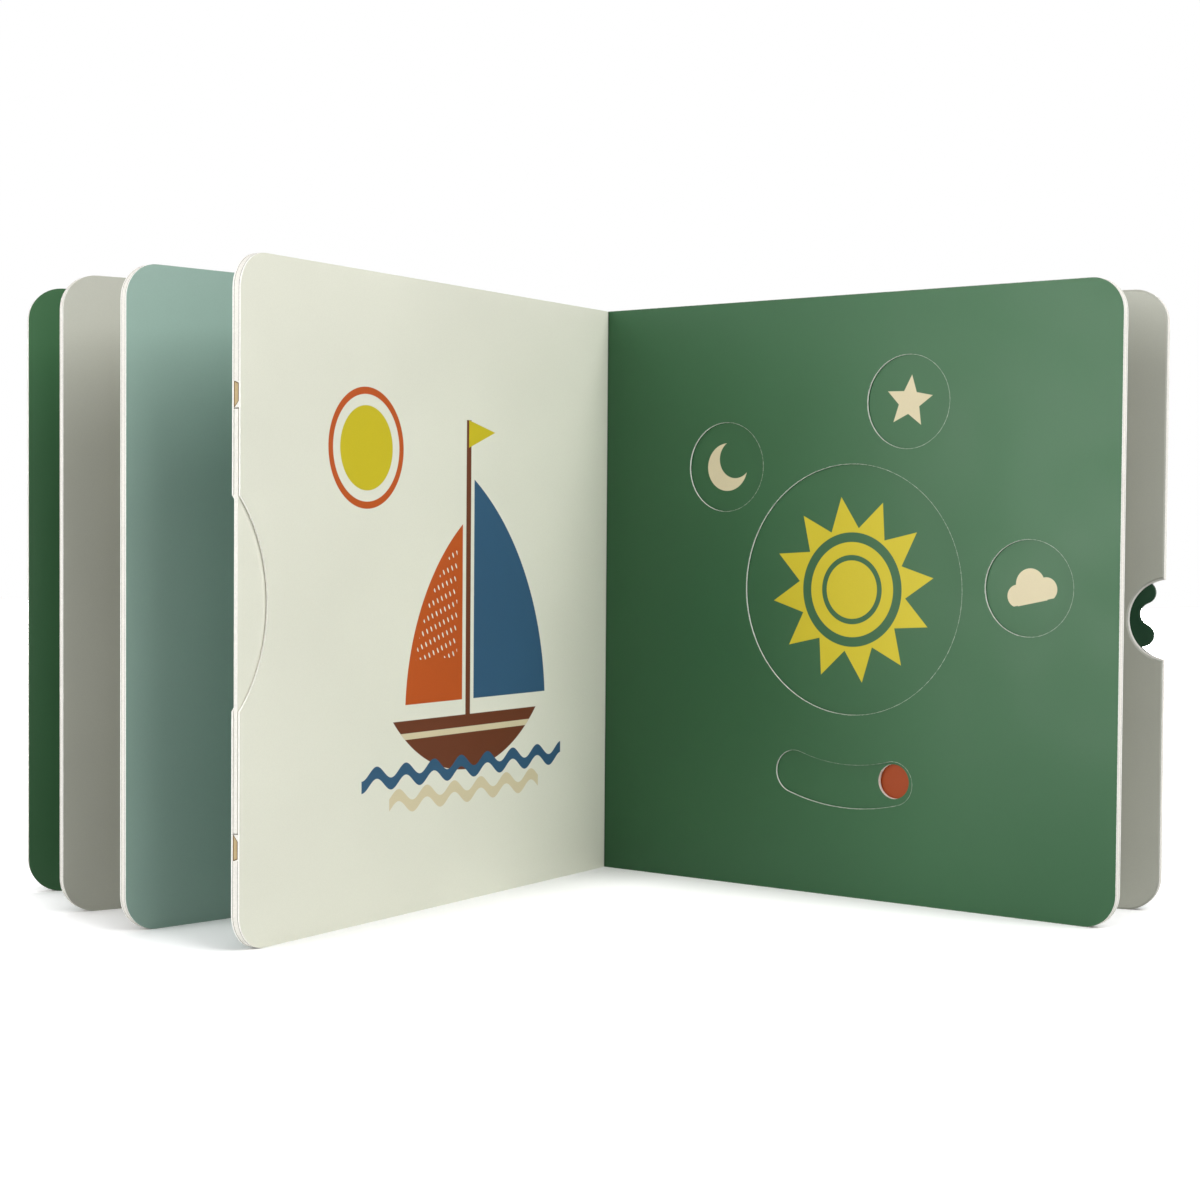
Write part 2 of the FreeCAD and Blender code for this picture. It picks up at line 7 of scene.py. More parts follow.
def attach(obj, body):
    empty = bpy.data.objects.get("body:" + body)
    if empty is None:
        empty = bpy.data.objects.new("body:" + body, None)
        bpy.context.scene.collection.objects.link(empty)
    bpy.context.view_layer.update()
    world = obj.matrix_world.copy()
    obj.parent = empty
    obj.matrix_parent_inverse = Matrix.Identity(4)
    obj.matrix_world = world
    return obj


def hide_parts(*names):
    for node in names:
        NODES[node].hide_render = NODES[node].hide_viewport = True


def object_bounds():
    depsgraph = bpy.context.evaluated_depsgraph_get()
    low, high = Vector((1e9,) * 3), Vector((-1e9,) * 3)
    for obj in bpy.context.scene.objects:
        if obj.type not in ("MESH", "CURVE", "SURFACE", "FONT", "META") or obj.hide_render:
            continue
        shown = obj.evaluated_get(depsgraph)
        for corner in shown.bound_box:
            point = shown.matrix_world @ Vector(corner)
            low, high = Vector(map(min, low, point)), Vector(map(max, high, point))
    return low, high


# %% [markdown]
# A square mechanism board book stands fanned open on its lower edges. The solids come from the
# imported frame. This script gives them their print, their cut board edges and the wheel's
# scalloped rim, and sets up a studio to be photographed in.

# %% Load the frame
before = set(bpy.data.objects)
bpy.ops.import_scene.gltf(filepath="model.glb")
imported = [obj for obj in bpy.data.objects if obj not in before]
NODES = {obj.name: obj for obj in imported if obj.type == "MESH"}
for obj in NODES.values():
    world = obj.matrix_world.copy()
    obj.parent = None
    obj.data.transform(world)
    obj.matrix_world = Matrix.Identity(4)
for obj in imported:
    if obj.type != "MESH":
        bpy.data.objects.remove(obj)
cad_low, cad_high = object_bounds()
print("nodes:", len(NODES), "box:", cad_low, cad_high)

# %% [markdown]
# Every page is drawn in its own directions: out from the fold, through the leaf, and up. The six
# leaves turn about folds that follow one another along the spine, each one leaf thickness further
# on, so a few driving sizes give the place of every page. They are in millimetres.

# %% Driving sizes
MM = 0.001
LEAF_WIDTH = 198.0
LEAF_HEIGHT = 200.0
CORNER_RADIUS = 10.8
SHEET = 0.55
CORE = 2.0
LEAF = 2 * SHEET + CORE
LEAF_ANGLES = {"a": 21.4, "b": 33.6, "c": 44.75, "d": 58.2, "e": 142.05, "f": 153.0}
INSERT_THICK = 1.4
INSERT_FACE = SHEET + (CORE - INSERT_THICK) / 2


def out_from_fold(leaf):
    """The direction from a leaf's fold to its fore-edge, in plan."""
    turn = math.radians(LEAF_ANGLES[leaf])
    return Vector((-math.cos(turn), -math.sin(turn)))


def through_leaf(leaf):
    """The direction from a leaf's first face to its second, in plan."""
    turn = math.radians(LEAF_ANGLES[leaf])
    return Vector((math.sin(turn), -math.cos(turn)))


# The open fold is found from the box: the front cover's fore-edge is its left limit.
FOLDS = {"e": Vector((0.0, 0.0))}
for before, after in (("d", "e"), ("c", "d"), ("b", "c"), ("a", "b")):
    FOLDS[before] = FOLDS[after] - through_leaf(before) * LEAF
FOLDS["f"] = FOLDS["e"] + through_leaf("e") * LEAF
left_limit = (FOLDS["a"] + out_from_fold("a") * LEAF_WIDTH).x
front_limit = (FOLDS["e"] + out_from_fold("d") * LEAF_WIDTH).y
shift = Vector((cad_low[0] / MM - left_limit, cad_low[1] / MM - front_limit))
for leaf in FOLDS:
    FOLDS[leaf] = FOLDS[leaf] + shift
print("folds in mm:", {leaf: tuple(round(c, 2) for c in at) for leaf, at in FOLDS.items()})


def page_point(leaf, out, depth, up):
    """A point of the row frame, in metres, from its place in a leaf in millimetres."""
    at = FOLDS[leaf] + out_from_fold(leaf) * out + through_leaf(leaf) * depth
    return Vector((at.x, at.y, up)) * MM


# %% [markdown]
# Print and cut edges are worked out from Object coordinates, so they stay on the page when a
# cover swings. Arithmetic on such values makes long node chains. A small class lets them be
# written as ordinary sums, and each operator adds one Math node.

# %% Arithmetic on surface values
class Value:
    """A number that changes over a surface: arithmetic on it adds Math nodes to its tree."""

    def __init__(self, tree, socket):
        self.tree = tree
        self.socket = socket

    def run(self, operation, *others, clamp=False):
        node = self.tree.nodes.new("ShaderNodeMath")
        node.operation = operation
        node.use_clamp = clamp
        for index, item in enumerate((self, *others)):
            if isinstance(item, Value):
                self.tree.links.new(item.socket, node.inputs[index])
            else:
                node.inputs[index].default_value = item
        return Value(self.tree, node.outputs[0])

    def __add__(self, other):
        return self.run("ADD", other)

    def __sub__(self, other):
        return self.run("SUBTRACT", other)

    def __mul__(self, other):
        return self.run("MULTIPLY", other)

    def __truediv__(self, other):
        return self.run("DIVIDE", other)

    def __rsub__(self, other):
        return (self * -1.0) + other

    def __neg__(self):
        return self * -1.0

    def both(self, other):
        """The overlap of two shapes given by their distances."""
        return self.run("MAXIMUM", other)

    def either(self, other):
        """The union of two shapes."""
        return self.run("MINIMUM", other)

    def size(self):
        return self.run("ABSOLUTE")

    def filled(self, blur=0.12):
        """1 inside a shape and 0 outside, from its distance in millimetres."""
        return (self * (-1.0 / blur)).run("ADD", 0.5, clamp=True)


def length(x, y):
    return (x * x + y * y).run("SQRT")


def disc(x, y, middle, radius):
    return length(x - middle[0], y - middle[1]) - radius


def side(x, y, start, end):
    """Distance to the right of the line from start to end."""
    along = Vector((end[0] - start[0], end[1] - start[1])).normalized()
    return (x - start[0]) * along.y - (y - start[1]) * along.x


def polygon(x, y, corners):
    """A convex shape whose corners run anticlockwise."""
    shape = None
    for start, end in zip(corners, corners[1:] + corners[:1]):
        edge = side(x, y, start, end)
        shape = edge if shape is None else shape.both(edge)
    return shape


def paint(tree, under, colour, mask):
    """Lays a colour over another where the mask is 1, and returns the mixed colour socket."""
    mix = tree.nodes.new("ShaderNodeMix")
    mix.data_type = "RGBA"
    tree.links.new(mask.socket, mix.inputs["Factor"])
    for key, item in ((6, under), (7, colour)):
        if isinstance(item, bpy.types.NodeSocket):
            tree.links.new(item, mix.inputs[key])
        else:
            mix.inputs[key].default_value = (*item, 1.0)
    return mix.outputs[2]


def linear(red, green, blue):
    """A colour given as the 0 to 255 values of a picture, in the linear numbers Blender uses."""
    parts = (c / 255 for c in (red, green, blue))
    return tuple(c / 12.92 if c < 0.04 else ((c + 0.055) / 1.055) ** 2.4 for c in parts)


print("surface arithmetic ready")

# %% [markdown]
# Three effects are used by many pieces, so each is a node group with named inputs: where a point
# lies in its leaf, how laminated print looks after some use, and how cut board looks.

# %% Node groups
def new_group(name, inputs, outputs):
    """An empty shader group with named sockets, and its two end nodes."""
    tree = bpy.data.node_groups.new(name, "ShaderNodeTree")
    for kind, entries in (("INPUT", inputs), ("OUTPUT", outputs)):
        for label, default in entries:
            colour = isinstance(default, tuple)
            socket = tree.interface.new_socket(
                label, in_out=kind, socket_type="NodeSocketColor" if colour else "NodeSocketFloat")
            if default is not None:
                socket.default_value = default
    return tree, tree.nodes.new("NodeGroupInput"), tree.nodes.new("NodeGroupOutput")


def noise(tree, scale, detail, vector=None, roughness=0.5):
    """A noise value about 0.5, its scale in blobs per metre."""
    node = tree.nodes.new("ShaderNodeTexNoise")
    node.inputs["Scale"].default_value = scale
    node.inputs["Detail"].default_value = detail
    node.inputs["Roughness"].default_value = roughness
    if vector is None:
        vector = tree.nodes.new("ShaderNodeTexCoord").outputs["Object"]
    tree.links.new(vector, node.inputs["Vector"])
    return Value(tree, node.outputs["Fac"])


def build_leaf_place():
    """Outputs how far a point lies out from the fold, through the leaf and up, in millimetres."""
    tree, entry, leave = new_group(
        "leaf_place", [("Fold X", 0.0), ("Fold Y", 0.0), ("Cosine", 1.0), ("Sine", 0.0)],
        [("Out", 0.0), ("Depth", 0.0), ("Up", 0.0)])
    split = tree.nodes.new("ShaderNodeSeparateXYZ")
    tree.links.new(tree.nodes.new("ShaderNodeTexCoord").outputs["Object"], split.inputs[0])
    x, y, z = (Value(tree, split.outputs[axis]) * 1000.0 for axis in range(3))
    fold_x, fold_y, cosine, sine = (Value(tree, entry.outputs[index]) for index in range(4))
    x, y = x - fold_x, y - fold_y
    tree.links.new((-(x * cosine + y * sine)).socket, leave.inputs["Out"])
    tree.links.new((x * sine - y * cosine).socket, leave.inputs["Depth"])
    tree.links.new(z.socket, leave.inputs["Up"])
    return tree


def build_worn_print():
    """Laminated print: cloudy tone, fine grain, and a pale rub where a page is handled."""
    tree, entry, leave = new_group(
        "worn_print", [("Ink", (0.5, 0.5, 0.5, 1.0)), ("Edge Distance", 10.0), ("Rub", 0.5)],
        [("Colour", (0.5, 0.5, 0.5, 1.0)), ("Roughness", 0.5), ("Height", 0.0)])
    cloud = noise(tree, 14.0, 2.0)
    grain = noise(tree, 2600.0, 1.0)
    tone = (cloud - 0.5) * 0.16 + (grain - 0.5) * 0.07 + 1.0
    shade = tree.nodes.new("ShaderNodeMix")
    shade.data_type = "RGBA"
    shade.blend_type = "MULTIPLY"
    shade.inputs["Factor"].default_value = 1.0
    tree.links.new(entry.outputs["Ink"], shade.inputs[6])
    tree.links.new(tone.socket, shade.inputs[7])
    ragged = noise(tree, 900.0, 2.0, roughness=0.7)
    edge = Value(tree, entry.outputs["Edge Distance"])
    rub = ((0.16 - edge) * 5.0 + (ragged - 0.5) * 1.6).run("ADD", 0.0, clamp=True)
    rub = rub * Value(tree, entry.outputs["Rub"])
    colour = paint(tree, shade.outputs[2], linear(246, 244, 237), rub)
    tree.links.new(colour, leave.inputs["Colour"])
    smear = noise(tree, 45.0, 1.0)
    tree.links.new(((smear - 0.5) * 0.14 + rub * 0.25 + 0.42).socket, leave.inputs["Roughness"])
    peel = noise(tree, 700.0, 0.0)
    tree.links.new((peel * 0.6 + grain * 0.4).socket, leave.inputs["Height"])
    return tree


def build_cut_board():
    """Board cut by a die: fibres along the layers, faint plies, and a little dirt."""
    tree, entry, leave = new_group(
        "cut_board", [("Board", (0.8, 0.8, 0.8, 1.0)), ("Depth", 0.0), ("Ply", 0.5)],
        [("Colour", (0.5, 0.5, 0.5, 1.0)), ("Roughness", 0.5), ("Height", 0.0)])
    fibre = noise(tree, 1500.0, 2.0, roughness=0.7)
    dirt = noise(tree, 60.0, 1.0)
    depth = Value(tree, entry.outputs["Depth"])
    plies = (depth * 15.0).run("SINE") * 0.5 + 0.5
    plies = plies * Value(tree, entry.outputs["Ply"])
    tone = (fibre - 0.5) * 0.3 + (dirt - 0.5) * 0.1 - plies * 0.05 + 1.0
    shade = tree.nodes.new("ShaderNodeMix")
    shade.data_type = "RGBA"
    shade.blend_type = "MULTIPLY"
    shade.inputs["Factor"].default_value = 1.0
    tree.links.new(entry.outputs["Board"], shade.inputs[6])
    tree.links.new(tone.socket, shade.inputs[7])
    tree.links.new(shade.outputs[2], leave.inputs["Colour"])
    tree.links.new(((fibre - 0.5) * 0.2 + 0.85).socket, leave.inputs["Roughness"])
    tree.links.new((fibre + plies * 0.4).socket, leave.inputs["Height"])
    return tree


LEAF_PLACE = build_leaf_place()
WORN_PRINT = build_worn_print()
CUT_BOARD = build_cut_board()
print("groups:", [group.name for group in (LEAF_PLACE, WORN_PRINT, CUT_BOARD)])

# %% [markdown]
# A printed sheet has ink only on its outer face. On its cut edges the bare white paper shows,
# which is what draws the thin bright lines round every page and every window. So one material
# asks how deep a point lies below the printed face, and shows ink only within a hair of it.

# %% Material helpers
INK_DEPTH = 0.04
PRINT_RELIEF = 0.04 * MM
BOARD_RELIEF = 0.06 * MM
SEAM_WIDTH = 0.18
PAPER_WHITE = linear(252, 250, 244)


def in_leaf(tree, leaf):
    """The three places of a point in a leaf, as values of the tree."""
    node = tree.nodes.new("ShaderNodeGroup")
    node.node_tree = LEAF_PLACE
    turn = math.radians(LEAF_ANGLES[leaf])
    node.inputs["Fold X"].default_value = FOLDS[leaf].x
    node.inputs["Fold Y"].default_value = FOLDS[leaf].y
    node.inputs["Cosine"].default_value = math.cos(turn)
    node.inputs["Sine"].default_value = math.sin(turn)
    return [Value(tree, node.outputs[key]) for key in ("Out", "Depth", "Up")]


def page_edge_distance(out, up):
    """How far a point lies inside the page outline, with its rounded outer corners."""
    across = out - (LEAF_WIDTH - CORNER_RADIUS)
    upward = (up - LEAF_HEIGHT / 2).size() - (LEAF_HEIGHT / 2 - CORNER_RADIUS)
    corner = length(across.run("MAXIMUM", 0.0), upward.run("MAXIMUM", 0.0))
    inside = across.both(upward).run("MINIMUM", 0.0)
    return (corner + inside - CORNER_RADIUS) * -1.0


def new_material(name):
    material = bpy.data.materials.new(name)
    material.use_nodes = True
    tree = material.node_tree
    shader = tree.nodes["Principled BSDF"]
    return material, tree, shader


def add_bump(tree, shader, height, strength, distance, under=None):
    bump = tree.nodes.new("ShaderNodeBump")
    if under:
        tree.links.new(under, bump.inputs["Normal"])
    bump.inputs["Strength"].default_value = strength
    bump.inputs["Distance"].default_value = distance
    tree.links.new(height, bump.inputs["Height"])
    tree.links.new(bump.outputs["Normal"], shader.inputs["Normal"])


def use_group(tree, group, **values):
    """Places a group. Keys name its inputs, with _ for a space."""
    node = tree.nodes.new("ShaderNodeGroup")
    node.node_tree = group
    for key, item in values.items():
        socket = node.inputs[key.replace("_", " ")]
        if isinstance(item, Value):
            tree.links.new(item.socket, socket)
        elif isinstance(item, bpy.types.NodeSocket):
            tree.links.new(item, socket)
        else:
            socket.default_value = (*item, 1.0) if isinstance(item, tuple) else item
    return node


def mix_values(tree, low, high, mask):
    """low where the mask is 0 and high where it is 1."""
    return low + (high - low) * mask


def printed_sheet(name, faces, rub=0.5, paper=PAPER_WHITE, rounded=0.0):
    """faces: (leaf, depth of the printed face, ink, and a function for its openings, if any).

    An ink is a colour, or a function that draws one from (tree, out, up). The die presses the cut
    lines of the last face over by `rounded` millimetres."""
    material, tree, shader = new_material(name)
    first_depth = in_leaf(tree, faces[0][0])[1]
    board = use_group(tree, CUT_BOARD, Board=paper, Depth=first_depth, Ply=0.0)
    colour = board.outputs["Colour"]
    roughness = Value(tree, board.outputs["Roughness"])
    height = Value(tree, board.outputs["Height"])
    for leaf, face_depth, ink, *openings in faces:
        out, depth, up = in_leaf(tree, leaf)
        edge = page_edge_distance(out, up)
        for opening in openings:
            edge = edge.either(opening(out, up))
        on_face = (INK_DEPTH - (depth - face_depth).size()) * (1 / INK_DEPTH) * 3.0
        on_face = on_face.run("ADD", 0.0, clamp=True) * (out + 0.4).run("GREATER_THAN", 0.0)
        inked = ink(tree, out, up) if callable(ink) else ink
        # Painted shade: a thin dark line along the fold, where the crease lies in shadow.
        inked = paint(tree, inked, CREASE_PAINTED_SHADE, (out - 0.35).filled(0.5) * 0.5)
        print_node = use_group(tree, WORN_PRINT, Ink=inked, Edge_Distance=edge, Rub=rub)
        colour = paint(tree, colour, print_node.outputs["Colour"], on_face)
        roughness = mix_values(tree, roughness, Value(tree, print_node.outputs["Roughness"]), on_face)
        height = mix_values(tree, height, Value(tree, print_node.outputs["Height"]) * 0.35, on_face)
    tree.links.new(colour, shader.inputs["Base Color"])
    tree.links.new(roughness.socket, shader.inputs["Roughness"])
    shader.inputs["Specular IOR Level"].default_value = 0.28
    pressed = None
    if rounded:
        fall = tree.nodes.new("ShaderNodeBump")
        fall.inputs["Distance"].default_value = rounded * MM
        tree.links.new((edge / rounded).run("MINIMUM", 1.0).socket, fall.inputs["Height"])
        pressed = fall.outputs["Normal"]
    add_bump(tree, shader, height.socket, 0.25, PRINT_RELIEF, pressed)
    return material


def finish_board(tree, shader, colour, depth, ply):
    """Joins the cut board effect to a surface."""
    board = use_group(tree, CUT_BOARD, Board=colour, Depth=depth, Ply=ply)
    tree.links.new(board.outputs["Colour"], shader.inputs["Base Color"])
    tree.links.new(board.outputs["Roughness"], shader.inputs["Roughness"])
    shader.inputs["Specular IOR Level"].default_value = 0.3
    add_bump(tree, shader, board.outputs["Height"], 0.4, BOARD_RELIEF)


def cut_board(name, leaf, colour, ply=1.0, spine=None):
    """Bare board with its plies. Its spine end may carry the colour of the spine paper."""
    material, tree, shader = new_material(name)
    out, depth, up = in_leaf(tree, leaf)
    if spine:
        seam = (CORE / 2 - SEAM_WIDTH) - (depth - LEAF / 2).size()
        colour = paint(tree, colour, SEAM_SHADE, seam.filled(0.06))
        colour = paint(tree, colour, spine, (out - 0.06).filled(0.02))
    finish_board(tree, shader, colour, depth, ply)
    return material


def guide_card(name, middle, facing):
    """A white card strip. Its kraft layer shows at the fore-edge, cut at a slant on the panel's side, with a
    line of painted shade round it.
    """
    material, tree, shader = new_material(name)
    out, depth, up = in_leaf(tree, "d")
    away = (up - middle) * facing
    panel_side = away - GUIDE_HALF + (depth - 0.75) * 1.2
    far_side = (depth - 0.75) * 0.4 - GUIDE_HALF - away
    layer = ((depth - LEAF / 2).size() - 0.75).both(panel_side).both(far_side)
    end_face = (LEAF_WIDTH - 0.05 - out).filled(0.02)
    colour = paint(tree, CARD_WHITE, KRAFT, layer.filled(0.1) * end_face)
    # Painted shade: a dark line round the kraft layer, where the gap between the layers lies in shadow.
    colour = paint(tree, colour, KRAFT_EDGE_PAINTED_SHADE, (layer.size() - 0.16).filled(0.1) * end_face)
    finish_board(tree, shader, colour, depth, 0.2)
    return material


def dress(node, material):
    """Gives a frame piece its finish."""
    data = NODES[node].data
    data.materials.clear()
    data.materials.append(material)


print("material helpers ready")

# %% [markdown]
# The inks. The open spread is cream on the left and green on the right, the other spreads are
# plain. The picture on the cream page is a small sailing boat under a sun, in rust, blue, brown
# and mustard. It is built from distances: a sail is where a disc and two straight edges overlap.

# %% Inks and the boat picture
GREEN = linear(46, 90, 56)
DARK_GREEN = linear(55, 96, 61)
DEEP_GREEN = linear(26, 62, 40)
CREAM = linear(228, 228, 213)
GREY = linear(196, 197, 185)
SAGE = linear(158, 184, 173)
RUST = linear(186, 84, 34)
BLUE = linear(52, 88, 118)
BROWN = linear(104, 56, 36)
MUSTARD = linear(202, 185, 40)
BEIGE = linear(214, 202, 168)
ORANGE = linear(150, 58, 2)
CARD_WHITE = linear(240, 237, 229)
KRAFT = linear(190, 168, 126)
KRAFT_EDGE_PAINTED_SHADE = linear(100, 76, 44)
CREASE_PAINTED_SHADE = linear(24, 30, 26)
SEAM_SHADE = linear(150, 144, 132)
TRAY_LOW = 26.3
TRAY_HIGH = 162.8
GUIDE_HALF = 3.75
GUIDE_LOW = TRAY_LOW + GUIDE_HALF
GUIDE_HIGH = TRAY_HIGH - GUIDE_HALF

BOAT_MIDDLE = 112.0
WATER_LINE = 58.0


def boat_picture(tree, out, up):
    """The cream page: x runs right from the fore-edge, y runs up."""
    x = LEAF_WIDTH - out
    y = up
    colour = CREAM
    # A sun with a rust ring, high on the left
    sun = disc(x, y, (58.0, 146.0), 13.0)
    ring = (disc(x, y, (58.0, 146.0), 17.5)).size() - 1.1
    colour = paint(tree, colour, MUSTARD, sun.filled())
    colour = paint(tree, colour, RUST, ring.filled())
    # The hull is a slice of a large disc
    hull = disc(x, y, (BOAT_MIDDLE, WATER_LINE + 39.0), 54.0).both(y - (WATER_LINE + 3.0))
    colour = paint(tree, colour, BROWN, hull.filled())
    stripe = hull.both((y - (WATER_LINE - 2.0)).size() - 1.0)
    colour = paint(tree, colour, BEIGE, stripe.filled())
    # The mast, and a sail on each side of it
    mast = ((x - BOAT_MIDDLE).size() - 1.3).both((y - (WATER_LINE + 50.0)).size() - 49.0)
    colour = paint(tree, colour, BROWN, mast.filled())
    main_sail = disc(x, y, (BOAT_MIDDLE - 46.0, WATER_LINE + 2.0), 92.0)
    main_sail = main_sail.both((BOAT_MIDDLE + 3.2) - x).both((WATER_LINE + 8.0) - y)
    colour = paint(tree, colour, BLUE, main_sail.filled())
    fore_sail = disc(x, y, (BOAT_MIDDLE + 42.0, WATER_LINE + 4.0), 76.0)
    fore_sail = fore_sail.both(x - (BOAT_MIDDLE - 3.2)).both((WATER_LINE + 8.0) - y)
    colour = paint(tree, colour, RUST, fore_sail.filled())
    # Short pale dashes scattered over the smaller sail
    cell_x = (x + y * 0.5).run("PINGPONG", 2.6) - 1.3
    cell_y = (y - x * 0.3).run("PINGPONG", 4.0) - 2.0
    dash = length(cell_x * 2.6, cell_y) - 0.95
    dash = dash.both(fore_sail + 3.0).both((WATER_LINE + 22.0) - y)
    colour = paint(tree, colour, CREAM, dash.filled(0.2))
    # A pennant
    pennant = polygon(x, y, [(BOAT_MIDDLE, 157.0), (BOAT_MIDDLE, 148.0), (BOAT_MIDDLE + 15.0, 153.5)])
    colour = paint(tree, colour, MUSTARD, pennant.filled())
    # Two rows of water
    rows = ((WATER_LINE - 14.0, 0.0, BLUE, 56.0), (WATER_LINE - 22.0, 1.6, BEIGE, 42.0))
    for level, phase, tone, reach in rows:
        swell = y - ((x * 0.42 + phase).run("SINE") * 2.0 + level)
        water = (swell.size() - 1.9).both((x - BOAT_MIDDLE).size() - reach)
        colour = paint(tree, colour, tone, water.filled())
    return colour


print("boat picture ready")

# %% [markdown]
# The turning disc carries a large picture in its middle and a ring of small ones. Three small ones
# stand in the windows, and when the disc turns the next three take their place. Each picture is
# drawn about its own middle, so one helper moves and turns the coordinates first.

# %% The disc's pictures
DIAL_OUT = 102.3
DIAL_UP = 102.4
PEEP_RING = 65.1
PEEP_ANGLES = (140.7, 71.1, 1.6)
DIAL_STEP = 34.0
SLOT_RING = 65.5


def moved(out, up, ring, angle, tilt=0.0):
    """Coordinates about a point on a ring round the disc centre, turned by tilt degrees."""
    turn = math.radians(angle)
    x = out - (DIAL_OUT + ring * math.cos(turn))
    y = up - (DIAL_UP + ring * math.sin(turn))
    lean = math.radians(tilt)
    return x * math.cos(lean) + y * math.sin(lean), y * math.cos(lean) - x * math.sin(lean)


def star(x, y, points, outer, inner):
    """Distance to a star: one edge, repeated by folding the angle round the middle."""
    step = math.pi / points
    angle = y.run("ARCTAN2", x)
    folded = angle.run("PINGPONG", step)
    away = length(x, y)
    fold_x, fold_y = away * folded.run("COSINE"), away * folded.run("SINE")
    tip, notch = (outer, 0.0), (inner * math.cos(step), inner * math.sin(step))
    return side(fold_x, fold_y, tip, notch)


def moon(x, y):
    return disc(x, y, (0.0, 0.0), 8.2).both(-disc(x, y, (3.8, 2.0), 6.6))


def small_star(x, y):
    return star(x, y, 5, 8.8, 4.0)


def cloud(x, y):
    shape = disc(x, y, (-4.6, -1.6), 3.6).either(disc(x, y, (0.4, 1.2), 5.0))
    shape = shape.either(disc(x, y, (5.4, -1.4), 3.8))
    return shape.both(-4.6 - y).either((x.size() - 5.2).both((y + 2.9).size() - 1.9))


def drop(x, y):
    return disc(x, y, (0.0, -2.4), 4.8).either(
        polygon(x, y, [(-4.3, -0.4), (4.3, -0.4), (0.0, 8.6)]))


def ring_shape(x, y):
    return disc(x, y, (0.0, 0.0), 6.2).size() - 1.6


def diamond(x, y):
    return (x.size() + y.size() * 0.8 - 6.4) * 0.78


def sun(x, y):
    """A round middle and a ring of broad rays."""
    rays = star(x, y, 12, 31.0, 20.5).both(19.0 - length(x, y))
    return disc(x, y, (0.0, 0.0), 15.8).either(rays)


def dial_print(tree, out, up):
    colour = GREEN
    x, y = moved(out, up, 0.0, 0.0, 8.0)
    colour = paint(tree, colour, MUSTARD, sun(x, y).filled())
    eye = disc(x, y, (0.0, 0.0), 10.6).size() - 0.9
    colour = paint(tree, colour, GREEN, eye.filled())
    shown = (moon, small_star, cloud)
    hidden = (ring_shape, drop, diamond)
    for angle, now, later in zip(PEEP_ANGLES, shown, hidden):
        for picture, at in ((now, angle), (later, angle + DIAL_STEP)):
            x, y = moved(out, up, PEEP_RING, at, 12.0)
            colour = paint(tree, colour, BEIGE, picture(x, y).filled())
    return colour


def under_slot(tree, out, up):
    """The face below the disc: green, with a band of orange that follows the slot."""
    x, y = moved(out, up, 0.0, 0.0)
    band = (length(x, y) - SLOT_RING).size() - 10.0
    band = band.both(y + 30.0)
    return paint(tree, GREEN, ORANGE, band.filled())


# %% [markdown]
# Where a die has cut an opening through a sheet, the print is rubbed pale along the cut, as it is
# along the page's own outline. These give the distance from each opening.

# %% Openings in the sheets
WINDOW_RADIUS = 41.6
PEEP_RADIUS = 15.3
SLOT_HALF_WIDTH = 7.2
SLOT_ANGLES = (-109.0, -75.0)
GRIP_RADIUS = 45.2
GRIP_DEPTH = 12.1
GRIP = (LEAF_WIDTH - GRIP_DEPTH + GRIP_RADIUS, 99.7)
NOTCH = (200.0, 94.1)
NOTCH_RADIUS = 13.0
NOTCH_LIP = 0.4
PEEK = (69.2, 123.0)
PEEK_RADIUS = 17.0


def disc_windows(out, up):
    edge = disc(out, up, (DIAL_OUT, DIAL_UP), WINDOW_RADIUS)
    for angle in PEEP_ANGLES:
        x, y = moved(out, up, PEEP_RING, angle)
        edge = edge.either(length(x, y) - PEEP_RADIUS)
    x, y = moved(out, up, 0.0, 0.0)
    slot = (length(x, y) - SLOT_RING).size() - SLOT_HALF_WIDTH
    start, end = ((math.cos(math.radians(a)), math.sin(math.radians(a))) for a in SLOT_ANGLES)
    slot = slot.both(side(x, y, (0.0, 0.0), start)).both(-side(x, y, (0.0, 0.0), end))
    for angle in SLOT_ANGLES:
        x, y = moved(out, up, SLOT_RING, angle)
        slot = slot.either(length(x, y) - SLOT_HALF_WIDTH)
    return edge.either(slot)


def grip_cut(out, up):
    return disc(out, up, GRIP, GRIP_RADIUS)


def thumb_notch(out, up):
    return disc(out, up, NOTCH, NOTCH_RADIUS)


def lining_openings(out, up):
    return (thumb_notch(out, up) - NOTCH_LIP).either(disc(out, up, PEEK, PEEK_RADIUS))


# %% Dress the printed sheets and boards
dress("front_lining", printed_sheet("lining_green_print", [("a", LEAF, DARK_GREEN)], rub=0.15))
dress("leaf_b_front_sheet", printed_sheet("leaf_b_green_print", [("b", 0.0, DARK_GREEN)]))
dress("spread_bc", printed_sheet("grey_spread_print", [("b", LEAF, GREY), ("c", 0.0, GREY)]))
dress("spread_cd", printed_sheet("sage_spread_print", [("c", LEAF, SAGE), ("d", 0.0, SAGE, grip_cut)]))
dress("spread_de", printed_sheet(
    "open_spread_print", [("d", LEAF, boat_picture, grip_cut), ("e", 0.0, GREEN, disc_windows)]))
dress("leaf_e_back_sheet", printed_sheet(
    "leaf_e_back_print", [("e", LEAF, GREY), ("e", SHEET + CORE, under_slot)], rub=0.4))
dress("back_lining", printed_sheet(
    "back_lining_print", [("f", 0.0, GREY, lining_openings)], rub=0.9, rounded=0.6))
dress("front_paper", printed_sheet("front_cover_print", [("a", 0.0, DARK_GREEN)], rub=0.8))
dress("back_paper", printed_sheet("back_cover_print", [("f", LEAF, DARK_GREEN, thumb_notch)], rub=0.8))
dress("dial_wheel", printed_sheet("dial_print", [("e", INSERT_FACE, dial_print)], rub=0.0))
dress("pull_panel", printed_sheet(
    "panel_print", [("d", INSERT_FACE, CREAM), ("d", INSERT_FACE + INSERT_THICK, CREAM)], rub=0.3,
    paper=CARD_WHITE))
